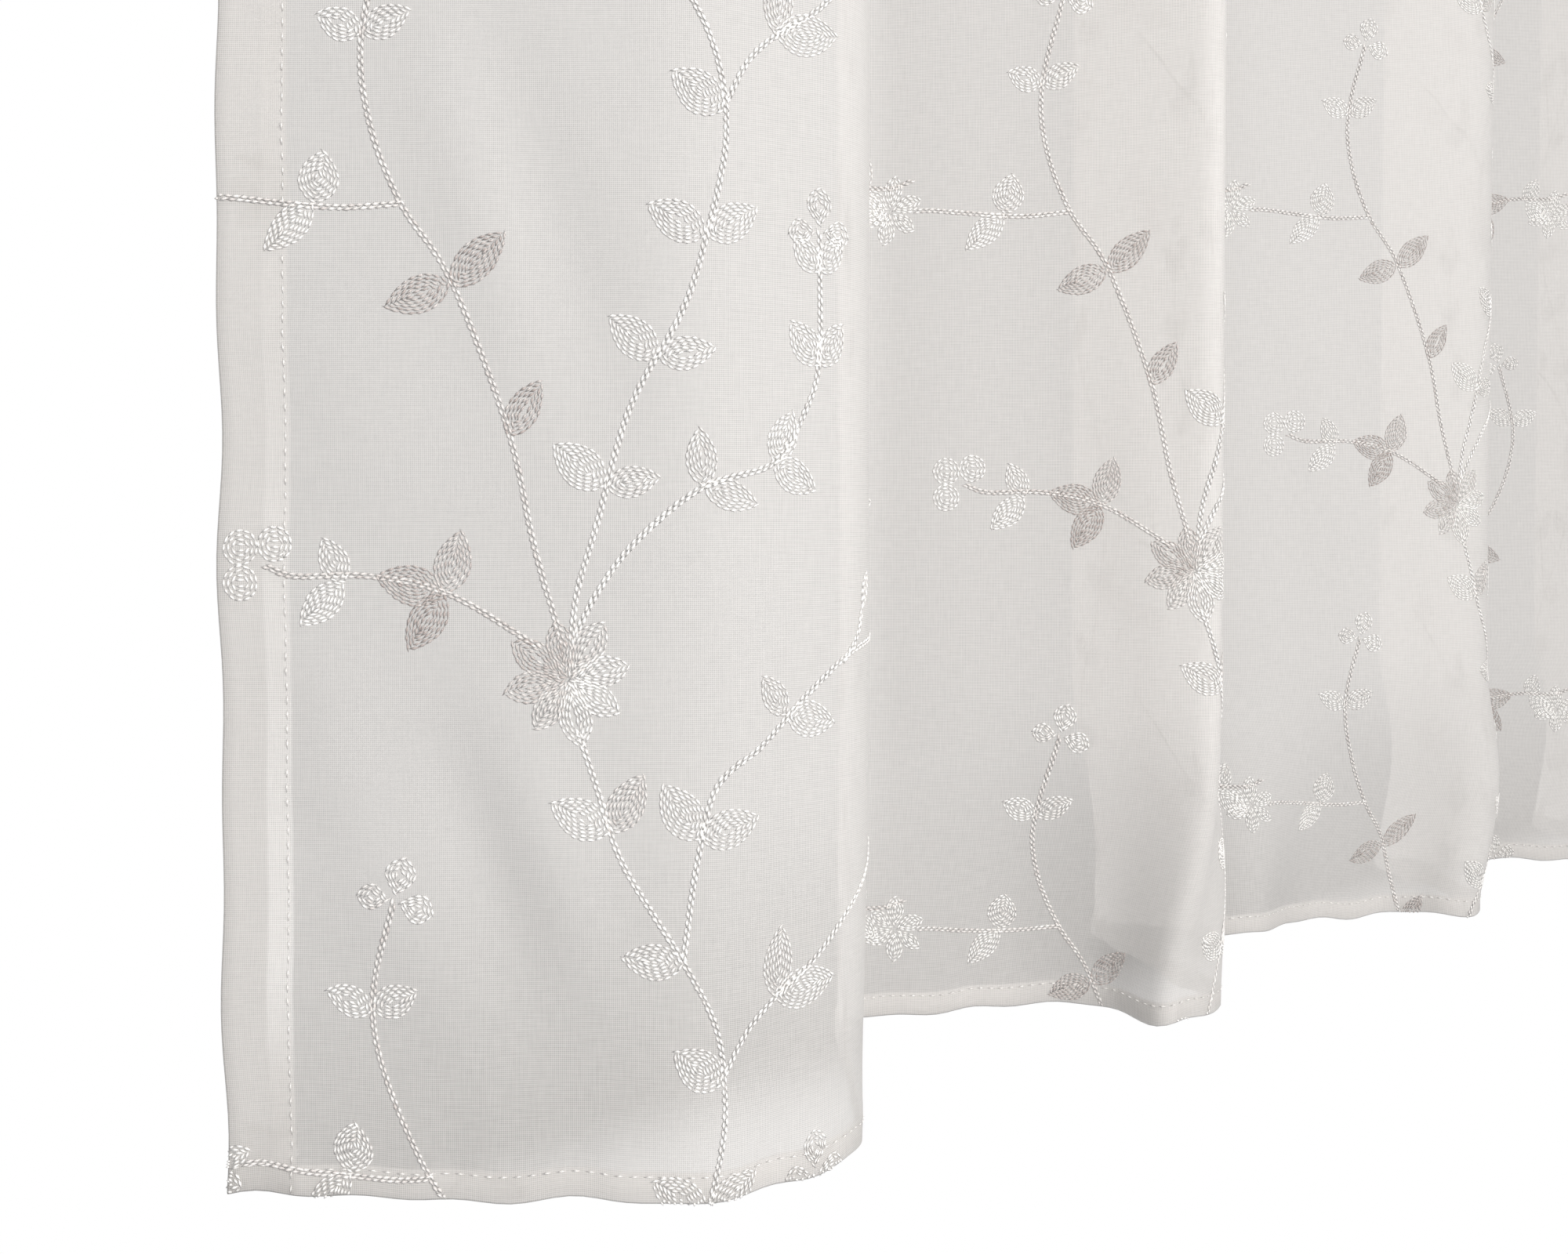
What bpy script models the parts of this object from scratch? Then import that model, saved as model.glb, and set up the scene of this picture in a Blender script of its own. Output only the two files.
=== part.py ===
"""Sheer curtain panel, hung from its top edge in deep, uneven folds.

Metres, +Z up. X runs along the rail and the front faces -Y. The origin is the middle of the top edge.
The whole curtain is one piece of cloth with turned hems on its two sides, its foot and its top.
"""

import math

import bmesh
import bpy

# The finished curtain, laid flat
CLOTH_WIDTH = 1.400
CLOTH_DROP = 2.450
SIDE_HEM = 0.021
FOOT_HEM = 0.009
TOP_HEM = 0.030

# One layer of cloth, and a hem where it lies folded on itself
CLOTH_THICKNESS = 0.0010
HEM_THICKNESS = 0.0020
HEM_STEP = 0.0008

# Heights above the foot: the folds are as set at the hem, then as set on the faces, then as at the rail
HEM_FLARE = 0.130
FACE_TOP = 0.400
RAIL_FOLDS_FROM = 1.700

# Above the faces the folds sway a little from side to side, in degrees, and their bends grow rounder
SWAY = 4.0
SWAY_LENGTH = 1.300
SWAY_STEP = 2.4
ROUNDER_BEND = 0.036

# The foot is a little wavy
FOOT_WAVE = 0.0016
FOOT_WAVE_LENGTH = 0.085
SLOW_WAVE = 2.7
SLOW_WAVE_TURN = 1.0

# How far the curtain may turn, run or rise between two rows of points
MOST_TURN = 13.0
MOST_RUN = 0.040
MOST_RISE = 0.130
WALK_STEP = 0.001
CLEAR_OF_HEM = 0.004
FLARE_LINES = (0.045, 0.080)

# Each run of cloth from the left edge to the right: its width, and its direction in plan against the
# rail, in degrees, at the hem, on the face above it and at the rail. The bend is the width of cloth
# that turns into the next run.
FOLD_COLUMNS = ("run", "width", "hem", "face", "rail", "bend")
FOLD_ROWS = (
    ("first face", 0.140, -48, -48, -50, 0.044),
    ("first shoulder", 0.056, -12, -16, -10, 0.050),
    ("first return", 0.158, 45, 46, 54, 0.040),
    ("second face", 0.075, -29, -57, -50, 0.046),
    ("second hollow", 0.035, -61, -64, -56, 0.028),
    ("second lap", 0.031, -104, -66, -44, 0.016),
    ("second shoulder", 0.038, -7, 40, 14, 0.038),
    ("second return", 0.149, 57, 57, 55, 0.040),
    ("third face", 0.073, -64, -52, -48, 0.040),
    ("third ripple", 0.042, 4, -37, -54, 0.030),
    ("third lap", 0.057, -24, -39, -46, 0.036),
    ("third crest", 0.040, -78, -30, -12, 0.046),
    ("third return", 0.150, 50, 50, 55, 0.056),
    ("fourth face", 0.143, -52, -50, -50, 0.060),
    ("fourth return", 0.130, 50, 50, 52, 0.060),
    ("last face", 0.083, -46, -46, -42, 0.0),
)
FOLDS = [dict(zip(FOLD_COLUMNS, row)) for row in FOLD_ROWS]

VOILE_COLOUR = (0.716, 0.686, 0.660, 1.0)
VOILE_ROUGHNESS = 0.85


def clear_scene():
    for item in list(bpy.data.objects):
        bpy.data.objects.remove(item, do_unlink=True)


def ease(value):
    value = min(max(value, 0.0), 1.0)
    return value * value * (3.0 - 2.0 * value)


def lift_at(height):
    """The share of the folds set at the rail, at a height above the foot."""
    return ease((height - FACE_TOP) / (RAIL_FOLDS_FROM - FACE_TOP))


def run_directions(height):
    """Each run's direction in degrees at a height above the foot."""
    flare = ease(height / HEM_FLARE)
    lift = lift_at(height)
    directions = []
    for number, fold in enumerate(FOLDS):
        low = fold["hem"] + (fold["face"] - fold["hem"]) * flare
        phase = math.tau * height / SWAY_LENGTH + number * SWAY_STEP
        directions.append(low + (fold["rail"] - low) * lift + SWAY * lift * math.sin(phase))
    return directions


def direction_at(along, height):
    """The cloth's direction in degrees at a width along it, turning smoothly from run to run."""
    end = 0.0
    directions = run_directions(height)
    rounder = ROUNDER_BEND * lift_at(height)
    direction = directions[0]
    for fold, before, after in zip(FOLDS, directions, directions[1:]):
        end += fold["width"]
        direction += (after - before) * ease((along - end) / (fold["bend"] + rounder) + 0.5)
    return direction


def plan_line(places, height):
    """The (x, y) places of the cloth in plan at each width along it, from its left edge."""
    line = [(0.0, 0.0)]
    x = y = along = 0.0
    for place in places[1:]:
        steps = max(1, round((place - along) / WALK_STEP))
        step = (place - along) / steps
        for _ in range(steps):
            direction = math.radians(direction_at(along + step / 2, height))
            x += step * math.cos(direction)
            y += step * math.sin(direction)
            along += step
        line.append((x, y))
    return line


def plumb_line(places, height):
    """The plan line with its right end brought above the faces' right end, so that both edges hang plumb."""
    line = plan_line(places, height)
    if height <= FACE_TOP:
        return line
    end_x, end_y = plan_line(places, FACE_TOP)[-1]
    slip_x, slip_y = end_x - line[-1][0], end_y - line[-1][1]
    shares = [place / CLOTH_WIDTH for place in places]
    return [(x + slip_x * share, y + slip_y * share) for (x, y), share in zip(line, shares)]


def left_edge(places):
    """Where the left edge hangs, so that the top edge is centred on the rail in width and in depth."""
    line = plumb_line(places, CLOTH_DROP)
    spans = [after - before for before, after in zip(places, places[1:])]
    depth = sum(span * (a[1] + b[1]) / 2 for span, a, b in zip(spans, line, line[1:])) / CLOTH_WIDTH
    return -line[-1][0] / 2, -depth


def width_places():
    """Widths along the cloth with a line of points: at the hems' edges and closer where it bends."""
    inner = CLOTH_WIDTH - SIDE_HEM
    fixed = [0.0, SIDE_HEM, SIDE_HEM + HEM_STEP, inner - HEM_STEP, inner, CLOTH_WIDTH]
    places = [0.0]
    turned = 0.0
    steps = round(CLOTH_WIDTH / WALK_STEP)
    for number in range(1, steps):
        along = number * WALK_STEP
        turned += max(
            abs(direction_at(along, height) - direction_at(along - WALK_STEP, height))
            for height in (0.0, HEM_FLARE, CLOTH_DROP)
        )
        near_fixed = min(abs(along - place) for place in fixed) < CLEAR_OF_HEM
        if not near_fixed and (turned > MOST_TURN or along - places[-1] > MOST_RUN):
            places.append(along)
            turned = 0.0
    return sorted(set(places + fixed))


def height_places():
    """Heights above the foot with a line of points: at the hems' edges and closer in the flare."""
    below_top = CLOTH_DROP - TOP_HEM
    fixed = [0.0, FOOT_HEM, FOOT_HEM + HEM_STEP, *FLARE_LINES, HEM_FLARE]
    rows = math.ceil((below_top - HEM_FLARE) / MOST_RISE)
    rise = (below_top - HEM_FLARE - HEM_STEP) / rows
    middle = [HEM_FLARE + rise * number for number in range(1, rows + 1)]
    return fixed + middle + [below_top, CLOTH_DROP]


def in_hem(along, height):
    at_side = min(along, CLOTH_WIDTH - along) < SIDE_HEM + HEM_STEP / 2
    at_end = height < FOOT_HEM + HEM_STEP / 2 or height > CLOTH_DROP - TOP_HEM - HEM_STEP / 2
    return at_side or at_end


def foot_wave(along, height):
    """How far the cloth rises and falls along its foot, fading out above it."""
    fade = 1.0 - ease(height / HEM_FLARE)
    wave = math.sin(math.tau * along / FOOT_WAVE_LENGTH)
    slow = math.sin(math.tau * along / (FOOT_WAVE_LENGTH * SLOW_WAVE) + SLOW_WAVE_TURN)
    return FOOT_WAVE * fade * (wave + slow) / 2


def curtain_sheet(places, heights):
    """A grid of points bent into the hung folds, with each point's share of the hem's thickness."""
    sheet = bmesh.new()
    columns, rows = len(places) - 1, len(heights) - 1
    bmesh.ops.create_grid(sheet, x_segments=columns, y_segments=rows, size=1.0)
    lines = [plumb_line(places, height) for height in heights]
    edge_x, edge_y = left_edge(places)
    hems = []
    for point in sheet.verts:
        column = round((point.co.x + 1.0) / 2.0 * columns)
        row = round((point.co.y + 1.0) / 2.0 * rows)
        along, height = places[column], heights[row]
        x, y = lines[row][column]
        point.co = (edge_x + x, edge_y + y, height - CLOTH_DROP + foot_wave(along, height))
        hems.append(in_hem(along, height))
    return sheet, hems


def voile_material():
    material = bpy.data.materials.new("off_white_voile")
    material.use_nodes = True
    shader = material.node_tree.nodes["Principled BSDF"]
    shader.inputs["Base Color"].default_value = VOILE_COLOUR
    shader.inputs["Roughness"].default_value = VOILE_ROUGHNESS
    shader.inputs["Metallic"].default_value = 0.0
    return material


def curtain_panel():
    sheet, hems = curtain_sheet(width_places(), height_places())
    mesh = bpy.data.meshes.new("curtain_panel")
    sheet.to_mesh(mesh)
    sheet.free()
    mesh.shade_smooth()
    panel = bpy.data.objects.new("curtain_panel", mesh)
    bpy.context.scene.collection.objects.link(panel)
    thickness = panel.vertex_groups.new(name="thickness")
    hem_points = [index for index, hem in enumerate(hems) if hem]
    field_points = [index for index, hem in enumerate(hems) if not hem]
    thickness.add(hem_points, 1.0, "REPLACE")
    thickness.add(field_points, CLOTH_THICKNESS / HEM_THICKNESS, "REPLACE")
    solid = panel.modifiers.new("cloth thickness", "SOLIDIFY")
    solid.thickness = HEM_THICKNESS
    solid.offset = -1.0
    solid.vertex_group = thickness.name
    mesh.materials.append(voile_material())


clear_scene()
curtain_panel()
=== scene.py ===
# Sheer voile curtain panel with chain-stitched vines, hung in uneven folds.
# Metres unless a note says otherwise. The front of the cloth faces -Y, and its top edge is at z = 0.

import math

import bmesh
import bpy
import numpy as np
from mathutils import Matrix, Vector


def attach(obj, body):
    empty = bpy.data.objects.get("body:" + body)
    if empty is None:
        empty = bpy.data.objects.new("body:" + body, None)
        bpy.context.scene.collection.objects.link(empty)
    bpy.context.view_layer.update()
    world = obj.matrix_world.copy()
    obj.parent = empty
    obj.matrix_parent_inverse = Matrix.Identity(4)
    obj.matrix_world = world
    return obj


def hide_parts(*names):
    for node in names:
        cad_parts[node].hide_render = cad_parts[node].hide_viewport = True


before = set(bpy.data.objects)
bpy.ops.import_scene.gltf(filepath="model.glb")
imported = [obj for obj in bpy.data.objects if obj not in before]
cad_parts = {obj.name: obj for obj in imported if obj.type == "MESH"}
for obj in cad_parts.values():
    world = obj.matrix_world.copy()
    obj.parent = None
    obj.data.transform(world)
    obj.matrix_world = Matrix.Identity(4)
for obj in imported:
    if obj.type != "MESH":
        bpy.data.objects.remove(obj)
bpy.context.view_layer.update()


# The hung shape, as the solid has it

hungCloth = {
    "width": 1.400,  # finished cloth, laid flat
    "drop": 2.450,
    "flareBelow": 0.130,  # heights above the foot
    "facesUpTo": 0.400,
    "railFoldsFrom": 1.700,
    "sway": 4.0,  # degrees
    "swayLength": 1.300,
    "swayStep": 2.4,
    "rounderBend": 0.036,
    "footWave": 0.0016,
    "footWaveLength": 0.085,
    "slowWave": 2.7,  # the longer wave's length to the first's, and its start in radians
    "slowWaveTurn": 1.0,
    "step": 0.001,  # width of cloth between two points of a plan line
    "lowRise": 0.005,  # height between two plan lines, low down and above
    "highRise": 0.020,
}

# Each run of cloth from the left edge: its width, its direction in plan in degrees at the hem,
# on the face above it and at the rail, and the width that turns into the next run
runColumns = ("run", "width", "hem", "face", "rail", "bend")
runRows = [
    ("first face", 0.140, -48, -48, -50, 0.044),
    ("first shoulder", 0.056, -12, -16, -10, 0.050),
    ("first return", 0.158, 45, 46, 54, 0.040),
    ("second face", 0.075, -29, -57, -50, 0.046),
    ("second hollow", 0.035, -61, -64, -56, 0.028),
    ("second lap", 0.031, -104, -66, -44, 0.016),
    ("second shoulder", 0.038, -7, 40, 14, 0.038),
    ("second return", 0.149, 57, 57, 55, 0.040),
    ("third face", 0.073, -64, -52, -48, 0.040),
    ("third ripple", 0.042, 4, -37, -54, 0.030),
    ("third lap", 0.057, -24, -39, -46, 0.036),
    ("third crest", 0.040, -78, -30, -12, 0.046),
    ("third return", 0.150, 50, 50, 55, 0.056),
    ("fourth face", 0.143, -52, -50, -50, 0.060),
    ("fourth return", 0.130, 50, 50, 52, 0.060),
    ("last face", 0.083, -46, -46, -42, 0.0),
]
runs = [dict(zip(runColumns, row)) for row in runRows]


def ease(value):
    value = np.clip(value, 0.0, 1.0)
    return value * value * (3.0 - 2.0 * value)


# The cloth in plan at a height above the foot, from its left edge
def planLine(height):
    h = hungCloth
    lift = ease((height - h["facesUpTo"]) / (h["railFoldsFrom"] - h["facesUpTo"]))
    flare = ease(height / h["flareBelow"])
    directions = []
    for number, run in enumerate(runs):
        low = run["hem"] + (run["face"] - run["hem"]) * flare
        phase = math.tau * height / h["swayLength"] + number * h["swayStep"]
        directions.append(low + (run["rail"] - low) * lift + h["sway"] * lift * math.sin(phase))
    along = np.arange(h["step"] / 2, h["width"], h["step"])
    direction = np.full(along.shape, directions[0])
    end = 0.0
    for run, before, after in zip(runs, directions, directions[1:]):
        end += run["width"]
        bend = run["bend"] + h["rounderBend"] * lift
        direction += (after - before) * ease((along - end) / bend + 0.5)
    direction = np.radians(direction)
    x = np.append(0.0, np.cumsum(np.cos(direction)) * h["step"])
    y = np.append(0.0, np.cumsum(np.sin(direction)) * h["step"])
    return np.stack([x, y], axis=1)


# The same, slipped above the faces so that the right edge hangs plumb too
def plumbLine(height):
    line = planLine(height)
    if height <= hungCloth["facesUpTo"]:
        return line
    slip = planLine(hungCloth["facesUpTo"])[-1] - line[-1]
    return line + np.linspace(0.0, 1.0, len(line))[:, None] * slip


def hungTable():
    h = hungCloth
    low = np.arange(0.0, h["facesUpTo"], h["lowRise"])
    high = np.arange(h["facesUpTo"], h["drop"], h["highRise"])
    heights = np.append(np.append(low, high), h["drop"])
    lines = np.array([plumbLine(height) for height in heights])
    edge = np.array([-lines[-1, -1, 0] / 2, -lines[-1, :, 1].mean()])
    return heights, lines + edge


tableHeights, tableLines = hungTable()
leftEdge = tableLines[0, 0]
print("hung shape: left edge at", leftEdge.round(4), "plan lines", len(tableHeights))


shortOfLast = 1.001  # keeps a place short of the last line, so that there is always one after it


# Plan places by width along the cloth and height above the foot
def planPlaces(across, height):
    lines, points = tableLines.shape[:2]
    column = np.clip(across / hungCloth["step"], 0, points - shortOfLast)
    row = np.clip(np.interp(height, tableHeights, np.arange(lines)), 0, lines - shortOfLast)
    left, low = column.astype(int), row.astype(int)
    partX, partY = (column - left)[:, None], (row - low)[:, None]
    below = tableLines[low, left] * (1 - partX) + tableLines[low, left + 1] * partX
    above = tableLines[low + 1, left] * (1 - partX) + tableLines[low + 1, left + 1] * partX
    return below * (1 - partY) + above * partY


def footRise(across, height):
    h = hungCloth
    fade = 1.0 - ease(height / h["flareBelow"])
    wave = np.sin(math.tau * across / h["footWaveLength"])
    slow = np.sin(math.tau * across / (h["footWaveLength"] * h["slowWave"]) + h["slowWaveTurn"])
    return h["footWave"] * fade * (wave + slow) / 2


# The hems, turned to the back and their raw edges turned under
hems = {
    "side": 0.021,
    "foot": 0.009,
    "top": 0.030,
    "turnedUnder": 0.0075,
    "layer": 0.0005,  # from one layer to the next
    "roll": 0.0007,  # half the width that rolls over at each fold of a hem
    "leastGap": 0.6,  # of a roll, between two rows of points
}

# Soft creases: where the middle is, in metres across and up, how long and wide each is, its lean
# in degrees from level, and how far it stands forward, in millimetres
creaseColumns = ("across", "up", "length", "width", "lean", "stands")
creaseRows = [
    (0.077, 0.280, 0.150, 0.011, -73, 1.5),
    (0.097, 0.285, 0.170, 0.012, -72, -1.7),
    (0.040, 0.230, 0.120, 0.022, -70, 1.4),
    (0.095, 0.104, 0.115, 0.011, -70, 2.0),
    (0.077, 0.098, 0.115, 0.011, -70, -2.0),
    (0.058, 0.070, 0.120, 0.011, -62, 1.0),
    (0.034, 0.130, 0.110, 0.013, -76, 1.3),
    (0.150, 0.035, 0.070, 0.009, 28, -1.8),
    (0.090, 0.142, 0.170, 0.004, -3, 0.5),
    (0.155, 0.150, 0.200, 0.014, -86, 1.2),
    (0.345, 0.200, 0.260, 0.012, 86, 1.3),
    (0.470, 0.180, 0.220, 0.013, -84, 1.6),
    (0.520, 0.120, 0.160, 0.010, 80, -1.4),
    (0.800, 0.240, 0.240, 0.015, -80, 1.8),
    (0.845, 0.150, 0.180, 0.011, -84, -1.4),
]
creases = [dict(zip(creaseColumns, row)) for row in creaseRows]

# Sewing draws the cloth up a little: puckers beside the stitched hems, small scallops on the foot,
# and side edges that wander in from the straight
drawnUp = {
    "pucker": 0.00045,
    "puckerLength": 0.019,
    "puckerReach": 0.009,
    "sideTurn": 0.4,  # where the puckers start, in radians
    "footTurn": 1.3,
    "scallop": 0.0011,
    "scallopLength": 0.031,
    "scallopFade": 0.022,
    "wander": 0.0011,
    "wanderLength": 0.067,
    "wanderFade": 0.035,
    "rightTurn": 2.0,  # the right edge wanders unlike the left
    "secondLength": 1.62,  # the second wave's length to the first's, and its start in radians
    "secondTurn": 0.8,
}


# Two waves of unlike length, from -1 to 1
def unevenWave(place, length, turn=0.0):
    first = np.sin(math.tau * place / length + turn)
    longer = length * drawnUp["secondLength"]
    second = np.sin(math.tau * place / longer + 2.0 * turn + drawnUp["secondTurn"])
    return (first + second) / 2


# How far the cloth stands in front of its plain folds
def standsForward(across, height):
    total = np.zeros_like(across)
    for crease in creases:
        lean = math.radians(crease["lean"])
        dx, dy = across - crease["across"], height - crease["up"]
        along = dx * math.cos(lean) + dy * math.sin(lean)
        aside = dy * math.cos(lean) - dx * math.sin(lean)
        fade = np.exp(-((along / (crease["length"] * 0.5)) ** 2) * 2)
        total += crease["stands"] * 0.001 * fade * np.exp(-((aside / crease["width"]) ** 2))
    d = drawnUp
    fromSide = np.minimum(across, hungCloth["width"] - across)
    atSide = np.exp(-(((fromSide - hems["side"]) / d["puckerReach"]) ** 2))
    atFoot = np.exp(-(((height - hems["foot"]) / d["puckerReach"]) ** 2))
    total += d["pucker"] * atSide * unevenWave(height, d["puckerLength"], d["sideTurn"])
    return total + d["pucker"] * atFoot * unevenWave(across, d["puckerLength"], d["footTurn"])


# Places a little further in where the edges wander
def wandered(across, height):
    d = drawnUp
    fromSide = np.minimum(across, hungCloth["width"] - across)
    fade = 1.0 - ease(fromSide / d["wanderFade"])
    turn = across.round() * d["rightTurn"]
    drawnIn = d["wander"] * fade * (1.0 + unevenWave(height, d["wanderLength"], turn))
    return np.where(across < hungCloth["width"] / 2, across + drawnIn, across - drawnIn)


# A place on the folds before creases and puckers
def plainPoint(across, height):
    plan = planPlaces(wandered(across, height), height)
    scallop = drawnUp["scallop"] * (1.0 - ease(height / drawnUp["scallopFade"]))
    rise = footRise(across, height) + scallop * unevenWave(across, drawnUp["scallopLength"])
    return np.column_stack([plan, height - hungCloth["drop"] + rise])


def unit(vectors):
    return vectors / np.linalg.norm(vectors, axis=1, keepdims=True)


# From just left to just right of a place, and from just below to just above it
def spans(pointAt, across, height):
    reach = 0.001
    h = hungCloth
    right, left = np.minimum(across + reach, h["width"]), np.maximum(across - reach, 0.0)
    top, bottom = np.minimum(height + reach, h["drop"]), np.maximum(height - reach, 0.0)
    return pointAt(right, height) - pointAt(left, height), pointAt(across, top) - pointAt(across, bottom)


def clothPoint(across, height):
    rightward, upward = spans(plainPoint, across, height)
    forward = unit(np.cross(rightward, upward))
    return plainPoint(across, height) + forward * standsForward(across, height)[:, None]


# The place on the cloth with its directions across, up and forward
def clothFrame(across, height):
    rightward, upward = spans(clothPoint, across, height)
    forward = unit(np.cross(rightward, upward))
    rightward = unit(rightward)
    return clothPoint(across, height), rightward, np.cross(forward, rightward), forward


# Where a place on the unfolded cloth hangs, and how many layers behind the front
def turnedBack(place, size, lowHem, highHem):
    roll = hems["roll"]
    atLow = place < size / 2
    edge = np.where(atLow, place, size - place)
    hem = np.where(atLow, lowHem, highHem)
    inward = np.where(edge < -hem, 2 * hem + edge, np.abs(edge))
    hung = np.where(atLow, inward, size - inward)
    layers = np.clip(1.0 - edge / roll, 0.0, 2.0) - np.clip(1.0 - (edge + hem) / roll, 0.0, 2.0) / 2
    return hung, layers


# Rows of points from end to end of the unfolded cloth, closer where a hem rolls over
def placesAlong(size, lowHem, highHem, spacing):
    roll, under = hems["roll"], hems["turnedUnder"]
    places = list(spacing)
    for hem, start, way in ((lowHem, 0.0, 1.0), (highHem, size, -1.0)):
        rolls = [place + side * roll for place in (-hem, 0.0, hem) for side in (-1, 0, 1)]
        between = [-hem - under, -hem - under / 2, -hem * 0.75, -hem / 2, -hem / 4]
        places += [start + way * edge for edge in rolls + between]
    places = np.sort(places)
    return places[np.append(True, np.diff(places) > roll * hems["leastGap"])]


voilePanel = {"across": 0.0042, "lowRise": 0.006, "highRise": 0.020, "clearOfEnd": 0.003}


def buildVoile():
    h, v = hungCloth, voilePanel
    inner = np.arange(v["across"], h["width"] - v["clearOfEnd"], v["across"])
    acrossPlaces = placesAlong(h["width"], hems["side"], hems["side"], inner)
    low = np.arange(v["lowRise"], h["facesUpTo"], v["lowRise"])
    high = np.arange(h["facesUpTo"], h["drop"] - v["clearOfEnd"], v["highRise"])
    upPlaces = placesAlong(h["drop"], hems["foot"], hems["top"], np.append(low, high))
    columns, rows = len(acrossPlaces) - 1, len(upPlaces) - 1
    sheet = bmesh.new()
    bmesh.ops.create_grid(sheet, x_segments=columns, y_segments=rows, size=1.0)
    mesh = bpy.data.meshes.new("voilePanel")
    sheet.to_mesh(mesh)
    sheet.free()
    flat = np.empty(len(mesh.vertices) * 3, np.float32)
    mesh.vertices.foreach_get("co", flat)
    flat = flat.reshape(-1, 3)
    unfoldedX = acrossPlaces[np.rint((flat[:, 0] + 1) / 2 * columns).astype(int)]
    unfoldedY = upPlaces[np.rint((flat[:, 1] + 1) / 2 * rows).astype(int)]
    across, acrossLayers = turnedBack(unfoldedX, h["width"], hems["side"], hems["side"])
    height, heightLayers = turnedBack(unfoldedY, h["drop"], hems["foot"], hems["top"])
    place, _, _, forward = clothFrame(across, height)
    behind = (acrossLayers + heightLayers) * hems["layer"]
    mesh.vertices.foreach_set("co", (place - forward * behind[:, None]).astype(np.float32).ravel())
    corners = np.empty(len(mesh.loops), np.int32)
    mesh.loops.foreach_get("vertex_index", corners)
    weave = mesh.uv_layers.new(name="weave")  # metres on the unfolded cloth
    unfolded = np.column_stack([unfoldedX, unfoldedY])[corners]
    weave.data.foreach_set("uv", unfolded.astype(np.float32).ravel())
    mesh.shade_smooth()
    mesh.update()
    panel = bpy.data.objects.new("voilePanel", mesh)
    bpy.context.scene.collection.objects.link(panel)
    print("voile panel:", len(mesh.polygons) * 2, "triangles")
    return panel


# The vine pattern, in millimetres across and up on the flat cloth, as one repeat has it

pattern = {
    "repeatAcross": 385.0,
    "repeatUp": 280.0,
    "driftUp": 26.0,  # each repeat across stands this much higher
    "taller": 1.02,  # the chart's heights, let out to the repeat
    "footSlip": 10.0,  # the cloth is drawn over at the foot, towards each repeat's left side
    "slipBelow": 75.0,
    "slipAcross": 150.0,
    "mirroredAcross": 393.0,  # the sprigs between are mirrored about half of this
    "mirroredUp": 143.0,
    "flowerAt": (101, 148),  # the middle of the sprig's flower
    "smallFlowerBack": 10,  # from its stem's end
}

# Each stem: whether the mirrored sprig has it too, what it ends in, its grey, partly painted shade, and its
# route
stems = {
    "tall vine": (True, "cluster", 0.40, [
        (100, 157), (92, 184), (84, 219), (68, 260), (54, 281), (45, 304), (43, 328), (51, 360)]),
    "side spray": (False, "flower", 0.35, [(54, 281), (37, 280), (22, 281), (2, 283), (-5, 283)]),
    "left branch": (True, "rosettes", 0.45, [(93, 157), (67, 172), (44, 177), (23, 177), (14, 180)]),
    "trunk": (True, "none", 0.15, [
        (102, 158), (104, 173), (110, 193), (119, 224), (134, 251), (141, 272), (147, 300), (144, 323),
        (134, 343), (117, 370), (110, 390), (104, 408)]),
    "middle vine": (False, "cluster", 0.08, [
        (103, 160), (110, 173), (121, 187), (140, 202), (162, 209), (173, 224), (178, 240), (178, 276)]),
    "right branch": (False, "none", 0.10, [
        (134, 343), (138, 370), (144, 392), (158, 403), (174, 417), (191, 428), (212, 432)]),
    "bud stalk": (False, "bud", 0.10, [(188, 426), (195, 433), (198, 440)]),
    "low branch": (False, "none", 0.08, [
        (147, 310), (154, 322), (163, 330), (177, 339), (192, 352), (216, 369)]),
}
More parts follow.
